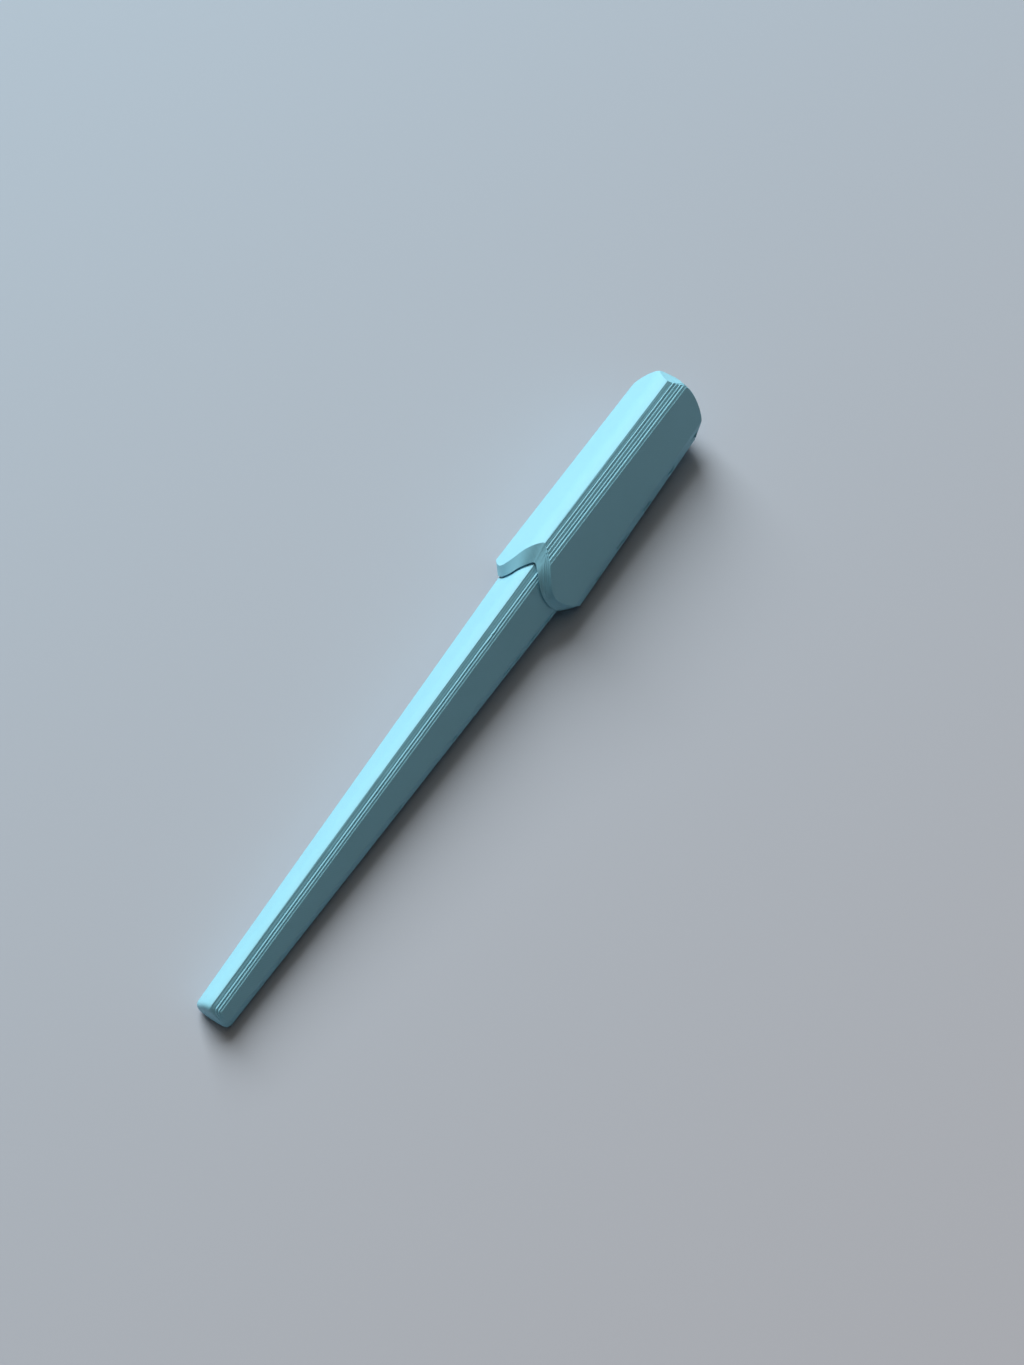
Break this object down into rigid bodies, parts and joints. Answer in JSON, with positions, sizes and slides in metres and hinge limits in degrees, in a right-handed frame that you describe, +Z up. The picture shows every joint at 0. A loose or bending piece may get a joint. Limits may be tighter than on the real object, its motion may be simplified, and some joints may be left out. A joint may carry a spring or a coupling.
{
  "type": "capped awl",
  "caption": "Slim three-sided tapered awl handle with a lobed slip-on cap that covers a short steel point; pierces holes in leather, paper or card.",
  "frame": {"origin": "on the ground, below the middle of the whole tool", "axes": "+X along the tool from its tail to the closed end of the cap, +Y to the left seen from the tail, +Z up; the tool lies on its tail and on the cap's lower lobe, so its own axis climbs 2.23 degrees towards +X"},
  "size_m": [0.1514, 0.018, 0.0178],
  "materials": {
    "plastic": "pale aqua printed plastic, satin, with fine layer lines",
    "steel": "ground and polished"
  },
  "bodies": {
    "handle": {"handle": "plastic", "steel_point": "steel"},
    "cap": {"cap": "plastic"}
  },
  "joints": [
    {"name": "cap_pull", "type": "slide", "parent": "handle", "child": "cap", "axis": [0.9992, 0, 0.0389], "range_m": [0, 0.05]}
  ]
}
